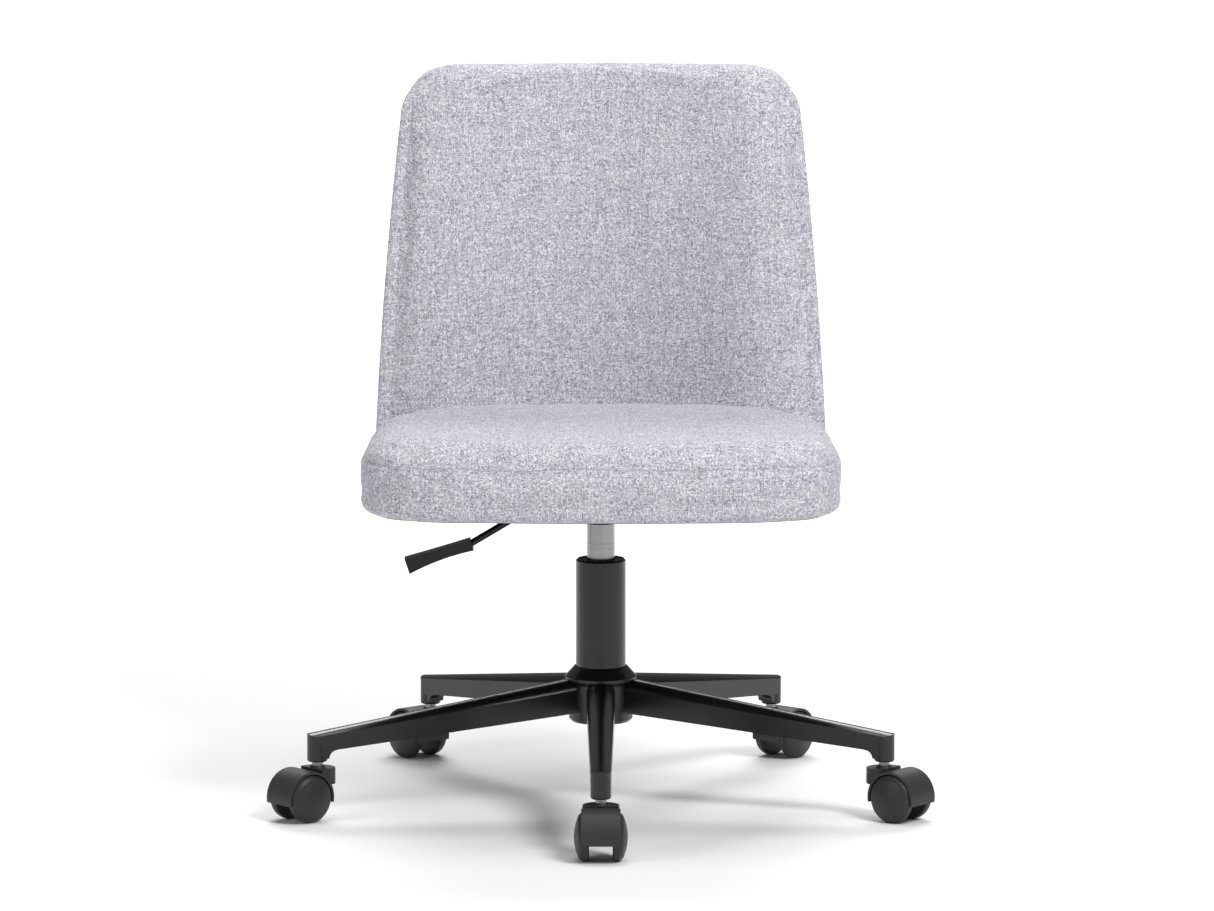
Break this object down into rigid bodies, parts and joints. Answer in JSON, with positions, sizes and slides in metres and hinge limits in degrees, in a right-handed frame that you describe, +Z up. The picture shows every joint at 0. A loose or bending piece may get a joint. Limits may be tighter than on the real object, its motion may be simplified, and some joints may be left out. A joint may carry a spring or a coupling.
{
  "type": "swivel desk chair",
  "caption": "Armless padded swivel chair: wrap-around back, gas lift with release lever, star base with spread legs and hooded twin-wheel casters.",
  "frame": {"origin": "on the floor, on the column's axis", "axes": "+Z up, front of the chair towards -Y, +X to the right when the chair is seen from the front"},
  "size_m": [0.6652, 0.6352, 0.719],
  "materials": {
    "heather_fabric": "light grey heather weave, matt",
    "underside_cloth": "thin black non-woven cloth",
    "black_powder_coat": "satin black powder coat",
    "polished_steel": "ground and plated, bright",
    "bearing_steel": "zinc plated",
    "black_plastic": "matt black",
    "caster_plastic": "fine textured dark grey",
    "wheel_plastic": "matt dark grey",
    "grip_plastic": "satin black",
    "bumper_rubber": "matt",
    "plywood": "raw beech ply"
  },
  "bodies": {
    "base": {"base_hub": "black_powder_coat", "leg_front": "black_powder_coat", "leg_right": "black_powder_coat", "leg_rear_right": "black_powder_coat", "leg_rear_left": "black_powder_coat", "leg_left": "black_powder_coat", "caster_sleeves": "black_plastic", "column_tube": "black_powder_coat", "column_bush": "black_plastic", "bearing_lower_race": "bearing_steel", "bearing_balls": "bearing_steel"},
    "spindle": {"piston_rod": "bearing_steel", "retaining_clip": "bearing_steel", "bearing_upper_race": "bearing_steel", "bumper": "bumper_rubber"},
    "seat": {"gas_cylinder": "polished_steel", "cylinder_gland": "bearing_steel", "taper_socket": "black_powder_coat", "seat_plate": "black_powder_coat", "lever_bracket": "black_powder_coat", "lever_pin": "bearing_steel", "seat_board": "plywood", "seat_cushion": "heather_fabric", "underside_cloth": "underside_cloth", "back_shell": "plywood", "back_pad": "heather_fabric", "back_cover": "heather_fabric", "back_brackets": "black_powder_coat", "plate_bolts": "bearing_steel", "bracket_bolts": "bearing_steel", "tee_nuts": "bearing_steel"},
    "lever": {"lever_rod": "black_powder_coat", "lever_grip": "grip_plastic"},
    "valve_button": {"valve_button": "bearing_steel"},
    "caster_front": {"caster_front_hood": "caster_plastic", "caster_front_stem": "bearing_steel", "caster_front_axle": "bearing_steel"},
    "wheel_front_a": {"caster_front_wheel_a": "wheel_plastic"},
    "wheel_front_b": {"caster_front_wheel_b": "wheel_plastic"},
    "caster_right": {"caster_right_hood": "caster_plastic", "caster_right_stem": "bearing_steel", "caster_right_axle": "bearing_steel"},
    "wheel_right_a": {"caster_right_wheel_a": "wheel_plastic"},
    "wheel_right_b": {"caster_right_wheel_b": "wheel_plastic"},
    "caster_rear_right": {"caster_rear_right_hood": "caster_plastic", "caster_rear_right_stem": "bearing_steel", "caster_rear_right_axle": "bearing_steel"},
    "wheel_rear_right_a": {"caster_rear_right_wheel_a": "wheel_plastic"},
    "wheel_rear_right_b": {"caster_rear_right_wheel_b": "wheel_plastic"},
    "caster_rear_left": {"caster_rear_left_hood": "caster_plastic", "caster_rear_left_stem": "bearing_steel", "caster_rear_left_axle": "bearing_steel"},
    "wheel_rear_left_a": {"caster_rear_left_wheel_a": "wheel_plastic"},
    "wheel_rear_left_b": {"caster_rear_left_wheel_b": "wheel_plastic"},
    "caster_left": {"caster_left_hood": "caster_plastic", "caster_left_stem": "bearing_steel", "caster_left_axle": "bearing_steel"},
    "wheel_left_a": {"caster_left_wheel_a": "wheel_plastic"},
    "wheel_left_b": {"caster_left_wheel_b": "wheel_plastic"}
  },
  "joints": [
    {"name": "column_swivel", "type": "hinge", "parent": "base", "child": "spindle", "pos_m": [0, 0, 0.09], "axis": [0, 0, 1], "continuous": true},
    {"name": "height_slide", "type": "slide", "parent": "spindle", "child": "seat", "axis": [0, 0, 1], "range_m": [-0.015, 0.07]},
    {"name": "lever_pull", "type": "hinge", "parent": "seat", "child": "lever", "pos_m": [-0.038, 0, 0.3145], "axis": [0, 1, 0], "range_deg": [0, 6], "stiffness_Nm_per_rad": 2},
    {"name": "button_press", "type": "slide", "parent": "seat", "child": "valve_button", "axis": [0, 0, -1], "range_m": [0, 0.004]},
    {"name": "caster_front_swivel", "type": "hinge", "parent": "base", "child": "caster_front", "pos_m": [0, -0.297, 0.06], "axis": [0, 0, 1], "continuous": true},
    {"name": "wheel_front_a_spin", "type": "hinge", "parent": "caster_front", "child": "wheel_front_a", "pos_m": [0, -0.318, 0.024], "axis": [1, 0, 0], "continuous": true},
    {"name": "wheel_front_b_spin", "type": "hinge", "parent": "caster_front", "child": "wheel_front_b", "pos_m": [0, -0.318, 0.024], "axis": [1, 0, 0], "continuous": true},
    {"name": "caster_right_swivel", "type": "hinge", "parent": "base", "child": "caster_right", "pos_m": [0.28246, -0.09178, 0.06], "axis": [0, 0, 1], "continuous": true},
    {"name": "wheel_right_a_spin", "type": "hinge", "parent": "caster_right", "child": "wheel_right_a", "pos_m": [0.29901, -0.10471, 0.024], "axis": [0.6157, 0.788, 0], "continuous": true},
    {"name": "wheel_right_b_spin", "type": "hinge", "parent": "caster_right", "child": "wheel_right_b", "pos_m": [0.29901, -0.10471, 0.024], "axis": [0.6157, 0.788, 0], "continuous": true},
    {"name": "caster_rear_right_swivel", "type": "hinge", "parent": "base", "child": "caster_rear_right", "pos_m": [0.17457, 0.24028, 0.06], "axis": [0, 0, 1], "continuous": true},
    {"name": "wheel_rear_right_a_spin", "type": "hinge", "parent": "caster_rear_right", "child": "wheel_rear_right_a", "pos_m": [0.18821, 0.25625, 0.024], "axis": [-0.7604, 0.6494, 0], "continuous": true},
    {"name": "wheel_rear_right_b_spin", "type": "hinge", "parent": "caster_rear_right", "child": "wheel_rear_right_b", "pos_m": [0.18821, 0.25625, 0.024], "axis": [-0.7604, 0.6494, 0], "continuous": true},
    {"name": "caster_rear_left_swivel", "type": "hinge", "parent": "base", "child": "caster_rear_left", "pos_m": [-0.17457, 0.24028, 0.06], "axis": [0, 0, 1], "continuous": true},
    {"name": "wheel_rear_left_a_spin", "type": "hinge", "parent": "caster_rear_left", "child": "wheel_rear_left_a", "pos_m": [-0.18821, 0.25625, 0.024], "axis": [-0.7604, -0.6494, 0], "continuous": true},
    {"name": "wheel_rear_left_b_spin", "type": "hinge", "parent": "caster_rear_left", "child": "wheel_rear_left_b", "pos_m": [-0.18821, 0.25625, 0.024], "axis": [-0.7604, -0.6494, 0], "continuous": true},
    {"name": "caster_left_swivel", "type": "hinge", "parent": "base", "child": "caster_left", "pos_m": [-0.28246, -0.09178, 0.06], "axis": [0, 0, 1], "continuous": true},
    {"name": "wheel_left_a_spin", "type": "hinge", "parent": "caster_left", "child": "wheel_left_a", "pos_m": [-0.29901, -0.10471, 0.024], "axis": [0.6157, -0.788, 0], "continuous": true},
    {"name": "wheel_left_b_spin", "type": "hinge", "parent": "caster_left", "child": "wheel_left_b", "pos_m": [-0.29901, -0.10471, 0.024], "axis": [0.6157, -0.788, 0], "continuous": true}
  ],
  "couplings": [
    {"joint": "button_press", "follows": "lever_pull", "m_per_rad": 0.038}
  ]
}
